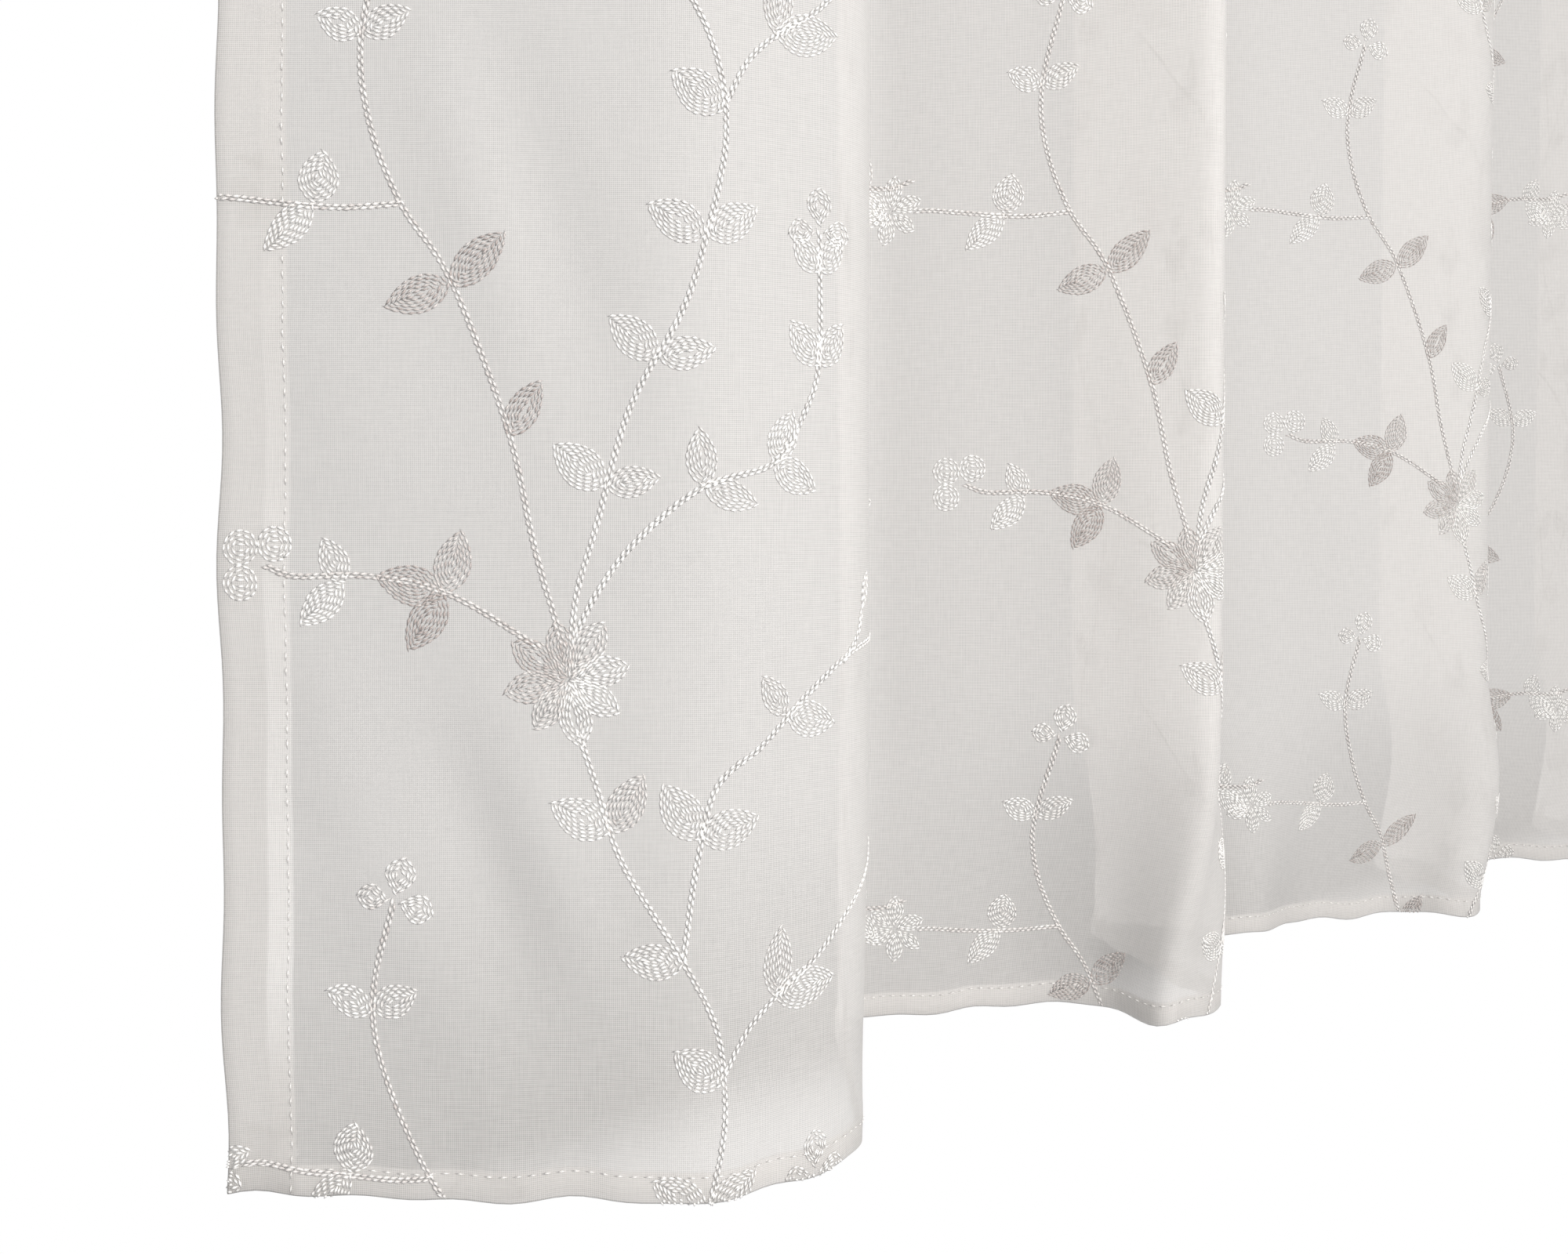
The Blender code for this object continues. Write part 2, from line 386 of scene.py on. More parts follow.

# Leaves: whether the mirrored sprig has them too, where they grow, their tip, their
# width to their length and their grey, 0 to 1: mostly painted shade where the thread's lustre turns from
# the light, in part the thread's variegated dye
leafColumns = ("mirrored", "x", "y", "tipX", "tipY", "wide", "grey")
leafRows = [
    (True, 68, 259, 49, 252, 0.53, 0.80),
    (True, 68, 258, 84, 273, 0.49, 0.85),
    (True, 84, 216, 94, 232, 0.50, 0.85),
    (True, 43, 328, 30, 334, 0.66, 0.00),
    (True, 43, 328, 57, 335, 0.60, 0.20),
    (False, 29, 281, 32, 296, 0.80, 0.15),
    (False, 29, 281, 14, 268, 0.50, 0.05),
    (True, 66, 172, 46, 177, 0.56, 0.85),
    (True, 66, 172, 71, 190, 0.58, 0.65),
    (True, 66, 172, 55, 156, 0.56, 1.00),
    (True, 37, 175, 31, 188, 0.62, 0.15),
    (True, 37, 175, 24, 163, 0.55, 0.00),
    (True, 112, 202, 97, 214, 0.62, 0.00),
    (True, 112, 202, 128, 205, 0.56, 0.20),
    (True, 127, 238, 113, 250, 0.60, 0.10),
    (True, 127, 238, 144, 241, 0.56, 0.10),
    (True, 141, 272, 124, 281, 0.60, 0.10),
    (True, 141, 272, 157, 281, 0.60, 0.05),
    (False, 146, 307, 131, 318, 0.66, 0.05),
    (False, 134, 342, 116, 344, 0.58, 0.15),
    (True, 113, 379, 96, 388, 0.60, 0.00),
    (True, 113, 379, 123, 396, 0.55, 0.45),
    (False, 140, 202, 139, 219, 0.55, 0.20),
    (False, 140, 202, 157, 197, 0.50, 0.10),
    (False, 162, 209, 169, 224, 0.60, 0.00),
    (False, 162, 209, 177, 201, 0.60, 0.05),
    (False, 178, 237, 168, 250, 0.62, 0.00),
    (False, 178, 237, 187, 250, 0.62, 0.05),
    (False, 178, 264, 169, 274, 0.62, 0.00),
    (False, 178, 264, 187, 275, 0.62, 0.05),
    (False, 139, 377, 128, 393, 0.62, 0.10),
    (False, 139, 377, 157, 383, 0.60, 0.10),
    (False, 166, 411, 158, 423, 0.60, 0.25),
    (False, 166, 411, 184, 408, 0.60, 0.05),
    (False, 163, 330, 165, 351, 0.48, 0.25),
    (False, 163, 330, 185, 333, 0.56, 0.05),
]
leaves = [dict(zip(leafColumns, row)) for row in leafRows]

# Petals in a ring or a fan: their number, how far they start and reach from the middle, their width to
# their length, their grey, painted shade that is strongest towards one side, and in degrees how widely they
# spread and where the first one points
bloomColumns = ("petals", "from", "reach", "width", "grey", "spread", "turn")
bloomRows = {
    "flower": (8, 0.5, 18.5, 0.50, 0.75, 360, 12),
    "small flower": (6, 1.0, 13.0, 0.55, 0.0, 360, 20),
    "cluster": (3, 1.5, 12.0, 0.80, 0.20, 190, 0),
    "bud": (1, 0.0, 13.0, 0.42, 0.05, 0, 0),
}
blooms = {kind: dict(zip(bloomColumns, row)) for kind, row in bloomRows.items()}

# Petals reach unevenly, by a share and in steps of radians, and have painted shade towards one side, in
# degrees
petalVaries = {"reach": 0.08, "step": 2.3, "paintedShadeSide": 150}
rosetteRing = {
    "places": [(-7, 5), (3, 6), (-7, -5)],
    "rings": (0.9, 2.2, 3.5, 4.8),
    "points": 19,
    "grey": 0.0,
}

# Chain stitches in millimetres: their spacing in a stem, from row to row and along a row, and the size
# of each. They are true to size low down and coarser above, to keep the count in bounds.
stitchColumns = ("chain", "row", "fill", "long", "wide", "high", "jitter")
fineStitch = dict(zip(stitchColumns, (2.3, 1.0, 2.4, 3.1, 0.86, 0.30, 0.07)))
coarseStitch = dict(zip(stitchColumns, (3.9, 1.8, 3.9, 5.0, 1.50, 0.45, 0.07)))

# Bands of height, a piece each: the fine ones' edges in metres, and how many coarse ones stand above
stitchBands = {"fine": (-1.0, 0.20, 0.38, 0.56), "coarse": 3, "pastTop": 0.1}

# How stitches vary in grey and in size, and how much shorter one at an edge is
stitchVaries = {"grey": 0.10, "least": 0.85, "most": 1.15, "atEdge": 0.5}
stitchLift = 0.00012  # off the cloth, in metres


# A smooth curve through a stem's points
def smoothRoute(points, spacing, start):
    points = np.array(points, float)
    padded = np.vstack([2 * points[0] - points[1], points, 2 * points[-1] - points[-2]])
    t = np.linspace(0, 1, 12, endpoint=False)[:, None]
    pieces = []
    for a, b, c, d in zip(padded, padded[1:], padded[2:], padded[3:]):
        bend, twist = 2 * a - 5 * b + 4 * c - d, 3 * b - a - 3 * c + d
        pieces.append(0.5 * (2 * b + (c - a) * t + bend * t**2 + twist * t**3))
    curve = np.vstack(pieces + [points[-1:]])
    return evenly(curve, spacing, start)


# Places spaced evenly along a line of points, with the line's angle at each
def evenly(curve, spacing, start=0.5):
    steps = np.linalg.norm(np.diff(curve, axis=0), axis=1)
    run = np.append(0.0, np.cumsum(steps))
    count = max(int(round(run[-1] / spacing)), 1)
    at = (np.arange(count) + start) * run[-1] / count
    near = 0.4  # millimetres each way, to find the angle
    x, y = np.interp(at, run, curve[:, 0]), np.interp(at, run, curve[:, 1])
    ahead = np.interp(at + near, run, curve[:, 0]) - np.interp(at - near, run, curve[:, 0])
    rise = np.interp(at + near, run, curve[:, 1]) - np.interp(at - near, run, curve[:, 1])
    return np.column_stack([x, y, np.arctan2(rise, ahead)])


# A stitch is a row of x, y, angle, length, width, height and grey
def stitchRows(places, stitch, grey, fuller=1.0):
    count = len(places)
    sizes = np.tile([stitch["long"], stitch["wide"] * fuller, stitch["high"] * fuller, grey], (count, 1))
    return np.hstack([places, sizes])


# A stem's two plies: how far each lies aside, its slant in radians and how full it is
ply = {"aside": 0.55, "slant": 0.16, "fuller": 1.3}


def chainStem(points, grey, stitch):
    sides = []
    for side in (-1, 1):
        strand = smoothRoute(points, stitch["chain"], 0.5 + side * 0.25)
        aside = side * stitch["wide"] * ply["aside"]
        strand[:, 0] -= np.sin(strand[:, 2]) * aside
        strand[:, 1] += np.cos(strand[:, 2]) * aside
        strand[:, 2] += ply["slant"]
        sides.append(stitchRows(strand, stitch, grey, ply["fuller"]))
    return np.vstack(sides)


# A leaf's outline: the powers that set where it is fullest and how blunt its ends are, its points,
# and how far in the first row of stitches lies, in rows
leafForm = {"fullest": 0.85, "petalFullest": 1.25, "blunt": 0.8, "points": 13, "firstRow": 0.35}


# Rows of stitches that follow a leaf's outline, one inside the other
def filledLeaf(x, y, tipX, tipY, width, grey, stitch, fullest=leafForm["fullest"]):
    length = math.hypot(tipX - x, tipY - y)
    aim = math.atan2(tipY - y, tipX - x)
    half = width * length / 2
    closing = math.hypot(1.0, length / (4 * half))  # the ends close in this much faster than the sides
    t = np.linspace(0.0, 1.0, leafForm["points"])
    swell = np.sin(np.pi * t**fullest) ** leafForm["blunt"]
    rows = []
    for ring in range(math.ceil(half / stitch["row"])):
        inset = (ring + leafForm["firstRow"]) * stitch["row"]
        along = inset * closing + t * (length - 2 * inset * closing)
        aside = swell * max(half - inset, 0.0)
        if along[-1] - along[0] < stitch["long"] / 2:
            break
        if half - inset > stitch["row"] / 2:
            along = np.concatenate([along, along[-2::-1]])
            aside = np.concatenate([aside, -aside[-2::-1]])
        placed = np.column_stack([
            x + along * math.cos(aim) - aside * math.sin(aim),
            y + along * math.sin(aim) + aside * math.cos(aim),
        ])
        start = 0.25 + 0.5 * (ring % 2)  # each row half a stitch on from the last
        rows.append(stitchRows(evenly(placed, stitch["fill"], start), stitch, grey))
    return np.vstack(rows)


def bloomStitches(kind, x, y, aim, stitch):
    bloom = blooms[kind]
    found = []
    for number in range(bloom["petals"]):
        if bloom["spread"] == 360:
            turn = math.radians(bloom["turn"] + 360 * number / bloom["petals"])
        else:
            aside = number / (bloom["petals"] - 1) - 0.5 if bloom["petals"] > 1 else 0.0
            turn = aim + math.radians(bloom["spread"] * aside)
        reach = bloom["reach"] * (1 + petalVaries["reach"] * math.sin(number * petalVaries["step"]))
        # painted shade: a petal's grey grows as it turns towards the shaded side
        grey = bloom["grey"] * (0.5 + 0.5 * math.cos(turn - math.radians(petalVaries["paintedShadeSide"])))
        base = (x + bloom["from"] * math.cos(turn), y + bloom["from"] * math.sin(turn))
        tip = (x + reach * math.cos(turn), y + reach * math.sin(turn))
        found.append(filledLeaf(*base, *tip, bloom["width"], grey, stitch, leafForm["petalFullest"]))
    return found


def rosetteStitches(x, y, stitch):
    found = []
    for offX, offY in rosetteRing["places"]:
        for ring in rosetteRing["rings"]:
            angles = np.linspace(0, math.tau, rosetteRing["points"])
            circle = np.column_stack([x + offX + ring * np.cos(angles), y + offY + ring * np.sin(angles)])
            found.append(stitchRows(evenly(circle, stitch["fill"]), stitch, rosetteRing["grey"]))
    return found


# One sprig's stitches, as charted or mirrored
def sprigStitches(mirrored, stitch):
    found = []
    for both, ending, grey, points in stems.values():
        if mirrored and not both:
            continue
        found.append(chainStem(points, grey, stitch))
        (beforeX, beforeY), (x, y) = points[-2:]
        aim = math.atan2(y - beforeY, x - beforeX)
        if ending in ("cluster", "bud"):
            found += bloomStitches(ending, x, y, aim, stitch)
        elif ending == "flower":
            found += bloomStitches("small flower", x - pattern["smallFlowerBack"], y, aim, stitch)
        elif ending == "rosettes" and not mirrored:
            found += rosetteStitches(x, y, stitch)
    for leaf in leaves:
        if mirrored and not leaf["mirrored"]:
            continue
        outline = [leaf[name] for name in leafColumns[1:]]
        found.append(filledLeaf(*outline, stitch))
    found += bloomStitches("flower", *pattern["flowerAt"], 0.0, stitch)
    rows = np.vstack(found)
    rows[:, 1] *= pattern["taller"]
    if mirrored:
        rows[:, 0] = pattern["mirroredAcross"] - rows[:, 0]
        rows[:, 1] += pattern["mirroredUp"]
        rows[:, 2] = np.pi - rows[:, 2]
    return rows


# All the stitches on the cloth, in metres, in bands of height
def patternStitches(stitch, low, high, random):
    sprigs = [sprigStitches(mirrored, stitch) for mirrored in (False, True)]
    acrossRepeats = range(-1, math.ceil(hungCloth["width"] * 1000 / pattern["repeatAcross"]) + 1)
    upRepeats = range(-3, math.ceil(hungCloth["drop"] * 1000 / pattern["repeatUp"]) + 1)
    found = []
    for across in acrossRepeats:
        for up in upRepeats:
            for sprig in sprigs:
                moved = sprig.copy()
                moved[:, 1] += up * pattern["repeatUp"] + across * pattern["driftUp"]
                nearFoot = 1.0 - ease(moved[:, 1] / pattern["slipBelow"])
                slip = nearFoot * (1.0 - ease(moved[:, 0] / pattern["slipAcross"]))
                moved[:, 0] += pattern["footSlip"] * slip
                moved[:, 0] += across * pattern["repeatAcross"]
                found.append(moved)
    rows = np.vstack(found)
    rows[:, [0, 1, 3, 4, 5]] *= 0.001
    size, drop = hungCloth["width"], hungCloth["drop"]
    rows = rows[(rows[:, 0] > -hems["side"]) & (rows[:, 0] < size + hems["side"])]
    rows = rows[(rows[:, 1] > -hems["foot"]) & (rows[:, 1] < drop + hems["top"])]
    rows = rows[(rows[:, 1] >= low) & (rows[:, 1] < high)]
    rows[:, 2] += random.normal(0.0, stitch["jitter"], len(rows))
    varies = stitchVaries
    rows[:, 6] = np.clip(rows[:, 6] + random.normal(0.0, varies["grey"], len(rows)), 0.0, 1.0)
    rows[:, 3:6] *= random.uniform(varies["least"], varies["most"], (len(rows), 3))
    fromEdge = np.minimum(np.abs(rows[:, :2]), np.abs(rows[:, :2] - (size, drop))).min(axis=1)
    rows[fromEdge < rows[:, 3] / 2, 3] *= varies["atEdge"]
    return rows


# A raised lozenge on the cloth for each stitch: its tail, right side, head, left side and crown
def stitchObject(name, rows):
    lozenge = np.array([(-0.5, 0, 0), (0.02, -0.5, 0), (0.5, 0, 0), (0.02, 0.5, 0), (0.06, 0, 1)])
    faces = np.array([(0, 1, 4), (1, 2, 4), (2, 3, 4), (3, 0, 4), (2, 1, 0), (3, 2, 0)])
    h = hungCloth
    across, acrossLayers = turnedBack(rows[:, 0], h["width"], hems["side"], hems["side"])
    height, heightLayers = turnedBack(rows[:, 1], h["drop"], hems["foot"], hems["top"])
    place, rightward, upward, forward = clothFrame(across, height)
    flipX = np.where((rows[:, 0] < 0) | (rows[:, 0] > h["width"]), -1.0, 1.0)[:, None]
    flipY = np.where((rows[:, 1] < 0) | (rows[:, 1] > h["drop"]), -1.0, 1.0)[:, None]
    outward = forward * flipX * flipY
    behind = (acrossLayers + heightLayers)[:, None] * hems["layer"]
    place = place - forward * behind + outward * stitchLift
    ahead = rightward * flipX * np.cos(rows[:, 2:3]) + upward * flipY * np.sin(rows[:, 2:3])
    aside = np.cross(outward, ahead)
    sizes = lozenge[None] * rows[:, None, 3:6]
    points = place[:, None] + sizes[..., :1] * ahead[:, None]
    points += sizes[..., 1:2] * aside[:, None] + sizes[..., 2:] * outward[:, None]
    count = len(rows)
    corners = (faces[None] + np.arange(count)[:, None, None] * len(lozenge)).ravel()
    mesh = bpy.data.meshes.new(name)
    mesh.vertices.add(count * len(lozenge))
    mesh.vertices.foreach_set("co", points.astype(np.float32).ravel())
    mesh.loops.add(len(corners))
    mesh.loops.foreach_set("vertex_index", corners.astype(np.int32))
    mesh.polygons.add(count * len(faces))
    mesh.polygons.foreach_set("loop_start", np.arange(0, len(corners), 3, dtype=np.int32))
    mesh.update(calc_edges=True)
    grey = mesh.attributes.new("grey", "FLOAT", "POINT")
    grey.data.foreach_set("value", np.repeat(rows[:, 6], len(lozenge)).astype(np.float32))
    mesh.shade_smooth()
    piece = bpy.data.objects.new(name, mesh)
    bpy.context.scene.collection.objects.link(piece)
    print(name + ":", count, "stitches", len(mesh.polygons), "triangles")
    return piece


def buildEmbroidery():
    random = np.random.default_rng(11)
    fine, coarse = stitchBands["fine"], stitchBands["coarse"]
    bands = [(fineStitch, low, high) for low, high in zip(fine, fine[1:])]
    edges = np.linspace(fine[-1], hungCloth["drop"] + stitchBands["pastTop"], coarse + 1)
    bands += [(coarseStitch, low, high) for low, high in zip(edges, edges[1:])]
    return [
        stitchObject(f"vineEmbroidery{number + 1}", patternStitches(stitch, low, high, random))
        for number, (stitch, low, high) in enumerate(bands)
    ]


# Running stitches that hold the hems, each a slim dash of thread

seam = {
    "pitch": 0.0042,
    "long": 0.0031,
    "wide": 0.00055,
    "high": 0.0004,
    "inside": 0.0012,  # from the hem's inner edge
    "jitter": 0.05,
    "grey": 0.15,
}


def buildSeams():
    h = hungCloth
    random = np.random.default_rng(5)
    side, foot, top = (hems[name] - seam["inside"] for name in ("side", "foot", "top"))
    rows = []
    for across in (side, h["width"] - side):
        up = np.arange(seam["pitch"] / 2, h["drop"], seam["pitch"])
        rows.append(np.column_stack([np.full_like(up, across), up, np.full_like(up, math.pi / 2)]))
    for up in (foot, h["drop"] - top):
        across = np.arange(seam["pitch"] / 2, h["width"], seam["pitch"])
        rows.append(np.column_stack([across, np.full_like(across, up), np.zeros_like(across)]))
    rows = np.vstack(rows)
    rows[:, 2] += random.normal(0.0, seam["jitter"], len(rows))
    sizes = np.tile([seam[name] for name in ("long", "wide", "high", "grey")], (len(rows), 1))
    return stitchObject("hemStitching", np.hstack([rows, sizes]))


# An sRGB hex colour as linear red, green, blue and alpha
def linear(hexColour):
    values = [int(hexColour[place : place + 2], 16) / 255 for place in (0, 2, 4)]
    return [v / 12.92 if v <= 0.04045 else ((v + 0.055) / 1.055) ** 2.4 for v in values] + [1.0]


# A node with its settings, by property or input, and the sockets that its inputs are linked to
def addNode(tree, kind, settings={}, links={}):
    node = tree.nodes.new(kind)
    for name, value in settings.items():
        if isinstance(name, int) or name in node.inputs:
            node.inputs[name].default_value = value
        else:
            setattr(node, name, value)
    for name, socket in links.items():
        tree.links.new(socket, node.inputs[name])
    return node


def newMaterial(name):
    material = bpy.data.materials.new(name)
    material.use_nodes = True
    material.node_tree.nodes.clear()
    return material, material.node_tree


# Plain-weave voile of fine matt polyester yarn: loose enough to see through, with slubs in its threads.
# The real threads stand 0.57 mm apart, which the picture hardly shows, so slubs a few threads wide
# are drawn over them, coarser than they are.
voileCloth = {
    "threads": 0.00057,
    "warmWhite": "e7e5e3",
    # painted light: the yarn's colour is whitened on the strip, standing in for light scattered by its
    # stacked layers
    "foldedPaintedLight": "faf9f8",  # where the turned-under edge lies behind it as a third layer
    "foldedFrom": 0.02,  # the strip whitens between these heights above the foot
    "foldedAbove": 0.07,
    "foldedBelow": 0.34,  # and fades up to here, to this share
    "foldedLeast": 0.15,
    "threadFrom": -0.80,  # of the wave's height, where a thread's soft edge begins and is whole
    "threadTo": 2.00,
    "waveLength": 0.31416,  # of Blender's wave texture at a scale of 1
    "wander": 1.0,  # how far the threads stray, in radians of their spacing
    "wanderDetail": 0.15,
    "slubWidth": 0.0008,
    "slubLength": 0.007,
    "slub": 0.6,
    "through": 1.0,  # how clear a gap between threads is
    "glow": 0.35,  # share of light that goes through the threads
    "bump": 0.2,
    "bumpDepth": 0.0003,
    "roughness": 0.8,
    "sheen": 0.2,
    "sheenRoughness": 0.5,
}


# The yarn's white, and painted light that whitens it along the side hems' inner edges, for the light the
# turned-under third layer scatters
def yarnWithPaintedFoldLight(tree, weave):
    c = voileCloth
    under, hem, edge = hems["side"] - hems["turnedUnder"], hems["side"], hems["roll"]
    smooth = {"interpolation_type": "SMOOTHSTEP"}
    place = addNode(tree, "ShaderNodeSeparateXYZ", {}, {0: weave})
    fromSide = addNode(tree, "ShaderNodeMath", {"operation": "PINGPONG", 1: hungCloth["width"] / 2},
                       {0: place.outputs["X"]})
    inside = addNode(tree, "ShaderNodeMapRange", {**smooth, "From Min": under - edge,
                     "From Max": under + edge}, {"Value": fromSide.outputs[0]})
    low = addNode(tree, "ShaderNodeMapRange", {**smooth, "From Min": 0.0, "From Max": c["foldedBelow"],
                  "To Min": 1.0, "To Max": c["foldedLeast"]}, {"Value": place.outputs["Y"]})
    strip = addNode(tree, "ShaderNodeMapRange", {**smooth, "From Min": hem, "From Max": hem + edge,
                    "To Max": 0.0}, {"Value": fromSide.outputs[0], "To Min": low.outputs[0]})
    aboveFoot = addNode(tree, "ShaderNodeMapRange", {**smooth, "From Min": c["foldedFrom"],
                        "From Max": c["foldedAbove"]}, {"Value": place.outputs["Y"]})
    belt = addNode(tree, "ShaderNodeMath", {"operation": "MULTIPLY"},
                   {0: inside.outputs[0], 1: strip.outputs[0]})
    share = addNode(tree, "ShaderNodeMath", {"operation": "MULTIPLY"},
                    {0: belt.outputs[0], 1: aboveFoot.outputs[0]})
    colour = addNode(tree, "ShaderNodeMix", {"data_type": "RGBA"}, {"Factor": share.outputs[0]})
    colour.inputs[6].default_value = linear(c["warmWhite"])
    colour.inputs[7].default_value = linear(c["foldedPaintedLight"])
    return colour.outputs[2]


def voileMaterial():
    c = voileCloth
    material, tree = newMaterial("matt polyester voile, plain weave")
    weave = addNode(tree, "ShaderNodeUVMap", {"uv_map": "weave"}).outputs[0]
    colour = yarnWithPaintedFoldLight(tree, weave)
    threads, gaps = [], []
    for direction, across, along in (("X", 0, 1), ("Y", 1, 0)):
        wave = addNode(tree, "ShaderNodeTexWave", {
            "bands_direction": direction, "Scale": c["waveLength"] / c["threads"],
            "Distortion": c["wander"], "Detail": 1.0, "Detail Scale": c["wanderDetail"]}, {"Vector": weave})
        scale = [0.0, 0.0, 0.0]
        scale[across], scale[along] = 1 / c["slubWidth"], 1 / c["slubLength"]
        stretched = addNode(tree, "ShaderNodeMapping", {"Scale": scale}, {"Vector": weave})
        slub = addNode(tree, "ShaderNodeTexNoise", {"Scale": 1.0, "Detail": 1.0},
                       {"Vector": stretched.outputs[0]})
        uneven = addNode(tree, "ShaderNodeMath", {"operation": "MULTIPLY_ADD", 1: c["slub"],
                         2: -c["slub"] / 2}, {0: slub.outputs[0]})
        thicker = addNode(tree, "ShaderNodeMath", {}, {0: wave.outputs["Fac"], 1: uneven.outputs[0]})
        thread = addNode(tree, "ShaderNodeMapRange", {"From Min": c["threadFrom"],
                         "From Max": c["threadTo"]}, {"Value": thicker.outputs[0]})
        gap = addNode(tree, "ShaderNodeMath", {"operation": "SUBTRACT", 0: 1.0}, {1: thread.outputs[0]})
        threads.append(thread.outputs[0])
        gaps.append(gap.outputs[0])
    opening = addNode(tree, "ShaderNodeMath", {"operation": "MULTIPLY"}, {0: gaps[0], 1: gaps[1]})
    clear = addNode(tree, "ShaderNodeMath", {"operation": "MULTIPLY", 1: c["through"]},
                    {0: opening.outputs[0]})
    height = addNode(tree, "ShaderNodeMath", {"operation": "MAXIMUM"}, {0: threads[0], 1: threads[1]})
    bump = addNode(tree, "ShaderNodeBump", {"Strength": c["bump"], "Distance": c["bumpDepth"]},
                   {"Height": height.outputs[0]})
    yarn = addNode(tree, "ShaderNodeBsdfPrincipled", {
        "Roughness": c["roughness"], "Sheen Weight": c["sheen"], "Sheen Roughness": c["sheenRoughness"]},
        {"Base Color": colour, "Normal": bump.outputs[0]})
    glow = addNode(tree, "ShaderNodeBsdfTranslucent", {}, {"Color": colour, "Normal": bump.outputs[0]})
    lit = addNode(tree, "ShaderNodeMixShader", {"Fac": c["glow"]}, {1: yarn.outputs[0], 2: glow.outputs[0]})
    hole = addNode(tree, "ShaderNodeBsdfTransparent")
    cloth = addNode(tree, "ShaderNodeMixShader", {},
                    {"Fac": clear.outputs[0], 1: lit.outputs[0], 2: hole.outputs[0]})
    addNode(tree, "ShaderNodeOutputMaterial", {}, {"Surface": cloth.outputs[0]})
    return material


# Lustrous viscose embroidery thread, white and warm grey, the grey mostly painted shade where the lustre
# turns from the light and in part variegated dye: a silky shine along each stitch
viscoseThread = {
    "white": "fffefc",
    "grey": "b1a6a2",
    "roughness": 0.42,
    "sheen": 0.5,
    "sheenRoughness": 0.4,
}


def threadMaterial():
    c = viscoseThread
    material, tree = newMaterial("lustrous viscose embroidery thread")
    shade = addNode(tree, "ShaderNodeAttribute", {"attribute_name": "grey"})
    # the grey attribute mixes in painted shade as well as the thread's own variegated tone
    colour = addNode(tree, "ShaderNodeMix", {"data_type": "RGBA"}, {"Factor": shade.outputs["Fac"]})
    colour.inputs[6].default_value = linear(c["white"])
    colour.inputs[7].default_value = linear(c["grey"])
    thread = addNode(tree, "ShaderNodeBsdfPrincipled", {
        "Roughness": c["roughness"], "Sheen Weight": c["sheen"], "Sheen Roughness": c["sheenRoughness"]},
        {"Base Color": colour.outputs[2]})
    addNode(tree, "ShaderNodeOutputMaterial", {}, {"Surface": thread.outputs[0]})
    return material


def dress(piece, material):
    piece.data.materials.append(material)
    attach(piece, "root")


voile = buildVoile()
dress(voile, voileMaterial())
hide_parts("curtain_panel")
viscose = threadMaterial()
stitching = [*buildEmbroidery(), buildSeams()]
for piece in stitching:
    dress(piece, viscose)


# The view: near the lower left corner, looking along the folds, with a little shift for the frame

view = {
    "lens": 43.2,
    "sensor": 36.0,
    "fromLeftEdge": (-0.2832, -0.4869),
    "aboveFoot": 0.1985,
    "turn": 47.0,  # degrees from straight on
    "down": 1.7,
    "shift": -0.0369,
    "clip": (0.01, 50.0),
}


def placeCamera():
    camera = bpy.data.objects.new("camera", bpy.data.cameras.new("camera"))
    bpy.context.scene.collection.objects.link(camera)
    camera.data.lens, camera.data.sensor_width = view["lens"], view["sensor"]
    camera.data.clip_start, camera.data.clip_end = view["clip"]
    turn, down = math.radians(view["turn"]), math.radians(view["down"])
    aim = Vector((math.sin(turn) * math.cos(down), math.cos(turn) * math.cos(down), -math.sin(down)))
    camera.rotation_euler = aim.to_track_quat("-Z", "Y").to_euler()
    left = Vector((*leftEdge, -hungCloth["drop"]))
    camera.location = left + Vector((*view["fromLeftEdge"], view["aboveFoot"]))
    camera.data.shift_y = view["shift"]
    bpy.context.scene.camera = camera


studio = {
    "white": 1.0,
    "lampColour": (1.0, 0.975, 0.95),
    "roomLight": 0.41,  # what lights the cloth from all round
    # painted shade of a room wall, which shows only through the cloth and darkens towards the floor
    "paintedWallShade": 0.38,  # what shows through it: the room, darker towards the floor, and the floor
    "wallAbove": -0.22,  # slopes down from level, where the room starts to darken and is darkest
    "wallFootBelow": -0.42,
    # painted shadow along the foot of that wall
    "paintedWallFootShadow": 0.08,
    "evenInFront": -0.30,  # the room has one shade from here towards the front, as the floor has there
    "floorTone": 0.62,
    "floorReach": 3.0,  # half its width
    "floorBelow": 0.25,
    "floorEnds": 0.58,  # behind the cloth
    # painted shadow along the floor's back end, where it meets the room's wall
    "floorShadowReach": 0.16,  # how far from its end the floor darkens
    "floorDimFrom": -0.35,  # in front of the cloth it dims to the room's shade
    "floorDimTo": -1.60,
    "layersSeenThrough": 24,
}


# White where the camera sees it bare, the given shade where it shows through the cloth, and one even
# light where it only lights the cloth
def roomShade(tree, output, shade):
    rays = addNode(tree, "ShaderNodeLightPath")
    seen = rays.outputs["Is Camera Ray"]
    bare = addNode(tree, "ShaderNodeMath", {"operation": "LESS_THAN", 1: 0.5},
                   {0: rays.outputs["Transparent Depth"]})
    direct = addNode(tree, "ShaderNodeMath", {"operation": "MULTIPLY"}, {0: bare.outputs[0], 1: seen})
    through = addNode(tree, "ShaderNodeMix", {2: studio["roomLight"]}, {0: seen, 3: shade})
    level = addNode(tree, "ShaderNodeMix", {3: studio["white"]},
                    {0: direct.outputs[0], 2: through.outputs[0]})
    light = addNode(tree, output, {"Color": (1.0, 1.0, 1.0, 1.0)}, {"Strength": level.outputs[0]})
    return light.outputs[0]


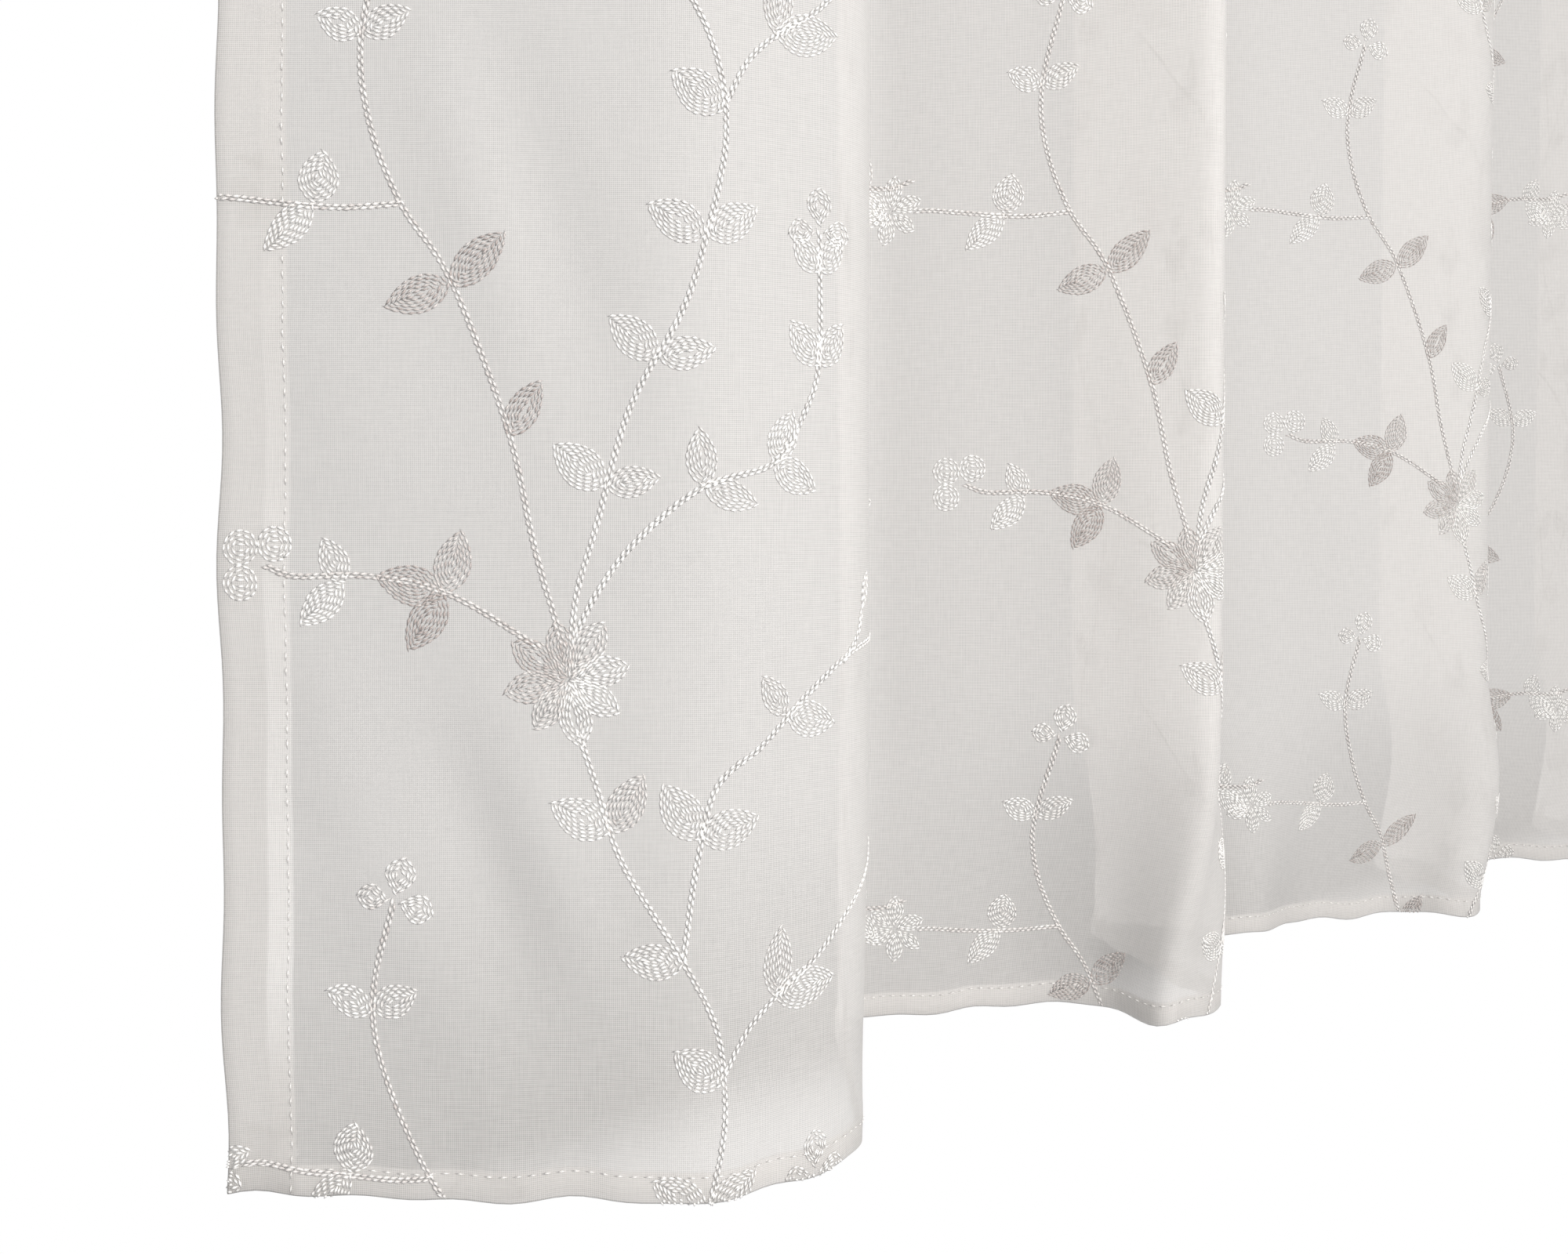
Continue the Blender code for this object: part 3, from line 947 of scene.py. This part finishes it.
def paleRoom():
    world = bpy.data.worlds.new("pale room")
    bpy.context.scene.world = world
    world.use_nodes = True
    tree = world.node_tree
    tree.nodes.clear()
    toward = addNode(tree, "ShaderNodeTexCoord")
    parts = addNode(tree, "ShaderNodeSeparateXYZ", {}, {0: toward.outputs["Generated"]})
    level = addNode(tree, "ShaderNodeMath", {"operation": "ABSOLUTE"}, {0: parts.outputs["Y"]})
    slope = addNode(tree, "ShaderNodeMath", {"operation": "DIVIDE"},
                    {0: parts.outputs["Z"], 1: level.outputs[0]})
    farSide = addNode(tree, "ShaderNodeMapRange", {"From Min": studio["evenInFront"], "From Max": 0.0},
                      {"Value": parts.outputs["Y"]})
    fall = addNode(tree, "ShaderNodeMath", {"operation": "MULTIPLY"},
                   {0: slope.outputs[0], 1: farSide.outputs[0]})
    # painted shade: the wall seen through the cloth, darkest in a painted shadow towards the floor
    shade = addNode(tree, "ShaderNodeMapRange", {
        "From Min": studio["wallFootBelow"], "From Max": studio["wallAbove"],
        "To Min": studio["paintedWallFootShadow"], "To Max": studio["paintedWallShade"]}, {"Value": fall.outputs[0]})
    light = roomShade(tree, "ShaderNodeBackground", shade.outputs[0])
    addNode(tree, "ShaderNodeOutputWorld", {}, {"Surface": light})
    print("pale room")


def paleFloor():
    reach, back = studio["floorReach"], leftEdge[1] + studio["floorEnds"]
    sheet = bmesh.new()
    bmesh.ops.create_grid(sheet, x_segments=1, y_segments=1, size=reach)
    down = -hungCloth["drop"] - studio["floorBelow"]
    bmesh.ops.translate(sheet, verts=sheet.verts, vec=(0.0, back - reach, down))
    mesh = bpy.data.meshes.new("floor")
    sheet.to_mesh(mesh)
    sheet.free()
    floor = bpy.data.objects.new("floor", mesh)
    bpy.context.scene.collection.objects.link(floor)
    material, tree = newMaterial("white paper floor")
    place = addNode(tree, "ShaderNodeTexCoord")
    parts = addNode(tree, "ShaderNodeSeparateXYZ", {}, {0: place.outputs["Object"]})
    front = addNode(tree, "ShaderNodeMapRange", {
        "interpolation_type": "SMOOTHSTEP", "From Min": studio["floorDimTo"],
        "From Max": studio["floorDimFrom"], "To Min": studio["paintedWallShade"], "To Max": studio["floorTone"]},
        {"Value": parts.outputs["Y"]})
    # painted shadow: the floor darkens to the wall's foot shadow at its back end
    shade = addNode(tree, "ShaderNodeMapRange", {
        "interpolation_type": "SMOOTHSTEP", "From Min": back - studio["floorShadowReach"], "From Max": back,
        "To Max": studio["paintedWallFootShadow"]}, {"Value": parts.outputs["Y"], "To Min": front.outputs[0]})
    light = roomShade(tree, "ShaderNodeEmission", shade.outputs[0])
    addNode(tree, "ShaderNodeOutputMaterial", {}, {"Surface": light})
    mesh.materials.append(material)
    print("pale floor")


# Soft boxes: where each stands, what it faces, its width and height, and its power in watts
softBoxColumns = ("place", "target", "size", "power")
softBoxRows = {
    "softBoxLow": ((-0.5, -1.5, -1.95), (-0.25, 0.0, -2.25), 0.9, 23.6),
    "softBoxLeft": ((-2.0, -1.6, -1.2), (-0.2, 0.0, -1.9), 1.5, 18.0),
    "softBoxRear": ((0.3, 2.2, -0.8), (0.0, 0.0, -1.7), 2.0, 10.0),
}


def softBoxes():
    for name, row in softBoxRows.items():
        box = dict(zip(softBoxColumns, row))
        lamp = bpy.data.lights.new(name, "AREA")
        lamp.shape, lamp.size, lamp.energy = "SQUARE", box["size"], box["power"]
        lamp.color = studio["lampColour"]
        light = bpy.data.objects.new(name, lamp)
        light.location = box["place"]
        aim = Vector(box["target"]) - Vector(box["place"])
        light.rotation_euler = aim.to_track_quat("-Z", "Y").to_euler()
        light.visible_camera = False
        bpy.context.scene.collection.objects.link(light)
    print("soft boxes:", len(softBoxRows))


placeCamera()
paleRoom()
paleFloor()
softBoxes()
bpy.context.scene.cycles.transparent_max_bounces = studio["layersSeenThrough"]
bpy.context.scene.view_settings.view_transform = "Standard"
